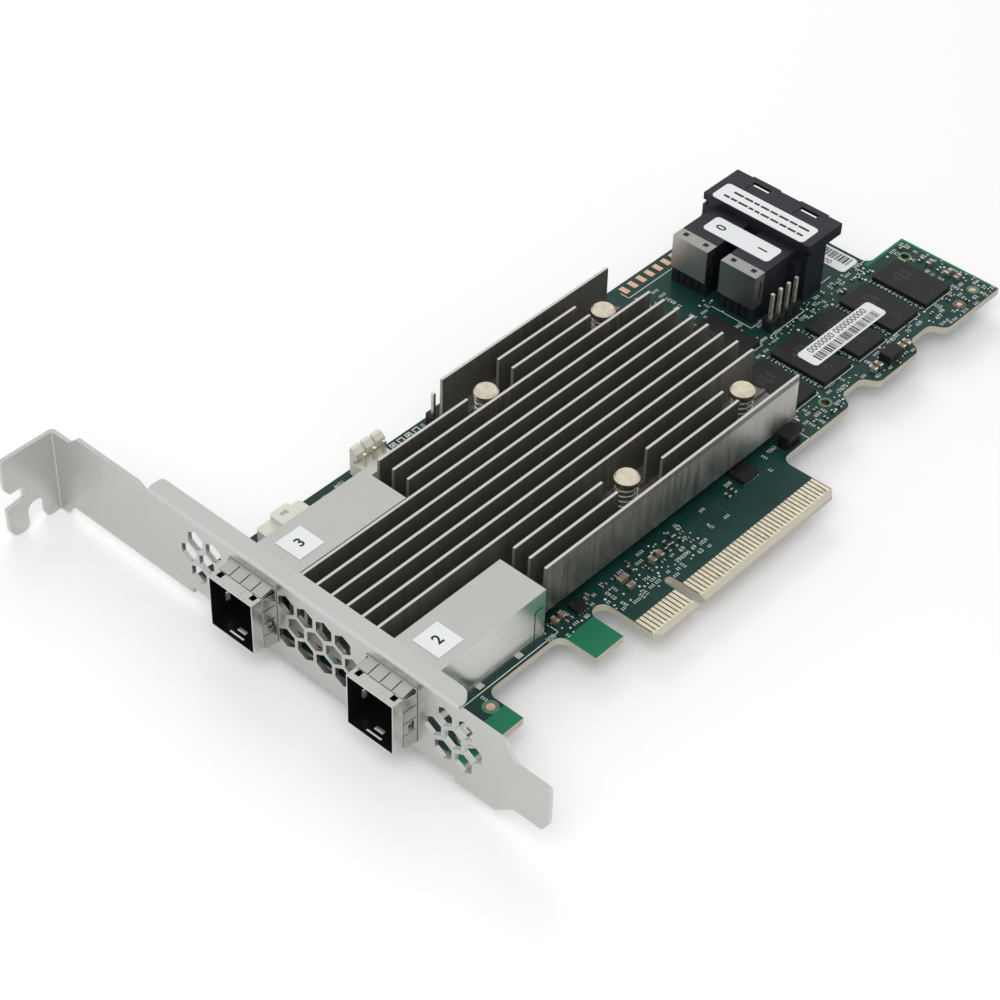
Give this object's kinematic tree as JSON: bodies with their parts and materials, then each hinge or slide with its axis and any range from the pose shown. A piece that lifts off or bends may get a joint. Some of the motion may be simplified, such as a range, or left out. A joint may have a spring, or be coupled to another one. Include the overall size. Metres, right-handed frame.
{
  "type": "disk controller card",
  "caption": "Expansion card with a metal slot bracket, shielded cable ports, a finned heat sink and an internal cable connector on a green board.",
  "frame": {"origin": "on the component face of the board, at the leading edge of the edge connector, in the middle of its key notch", "axes": "+X along the card away from the bracket, +Y from the edge connector to the card's top edge, +Z out of the component side"},
  "size_m": [0.1801, 0.12, 0.0213],
  "materials": {
    "solder_mask": "satin",
    "contact_gold": "polished",
    "land_copper": "satin",
    "bracket_steel": "satin",
    "screw_steel": "satin",
    "cage_metal": "polished",
    "gasket_metal": "satin",
    "receptacle_black": "matte",
    "port_contact_gold": "polished",
    "sink_aluminium": "satin",
    "pin_brass": "satin",
    "spring_steel": "satin",
    "substrate_green": "matte",
    "lid_metal": "satin",
    "thermal_pad": "matte",
    "connector_black": "satin",
    "shell_metal": "satin",
    "chip_black": "matte",
    "inductor_black": "matte",
    "capacitor_tan": "satin",
    "resistor_black": "satin",
    "bulk_capacitor_brown": "satin",
    "header_black": "matte",
    "header_pin_gold": "polished",
    "connector_cream": "satin",
    "label_white": "matte"
  },
  "bodies": {
    "root": {"board_lands": "land_copper", "bracket": "bracket_steel", "bracket_screws": "screw_steel", "bulk_capacitor": "bulk_capacitor_brown", "capacitors": "capacitor_tan", "chip_lid": "lid_metal", "chip_substrate": "substrate_green", "circuit_board": "solder_mask", "connector_contacts": "port_contact_gold", "connector_housing": "connector_black", "connector_label": "label_white", "connector_shell_1": "shell_metal", "connector_shell_2": "shell_metal", "edge_contacts": "contact_gold", "flange_label": "label_white", "flash_chip": "chip_black", "heat_sink": "sink_aluminium", "heat_sink_pins": "pin_brass", "heat_sink_springs": "spring_steel", "jumper_header": "header_black", "jumper_header_pins": "header_pin_gold", "lock_connector": "connector_cream", "lock_connector_pins": "header_pin_gold", "memory_chip_1": "chip_black", "memory_chip_2": "chip_black", "memory_chip_3": "chip_black", "memory_chip_4": "chip_black", "memory_chip_5": "chip_black", "memory_label": "label_white", "pin_header": "header_black", "pin_header_pins": "header_pin_gold", "port_cage_1": "cage_metal", "port_cage_2": "cage_metal", "port_contacts_1": "port_contact_gold", "port_contacts_2": "port_contact_gold", "port_gasket_1": "gasket_metal", "port_gasket_2": "gasket_metal", "port_labels": "label_white", "port_receptacle_1": "receptacle_black", "port_receptacle_2": "receptacle_black", "power_inductor": "inductor_black", "resistors": "resistor_black", "serial_label": "label_white", "side_connector": "connector_cream", "side_connector_pins": "header_pin_gold", "small_chips": "chip_black", "thermal_pad": "thermal_pad"}
  },
  "joints": []
}
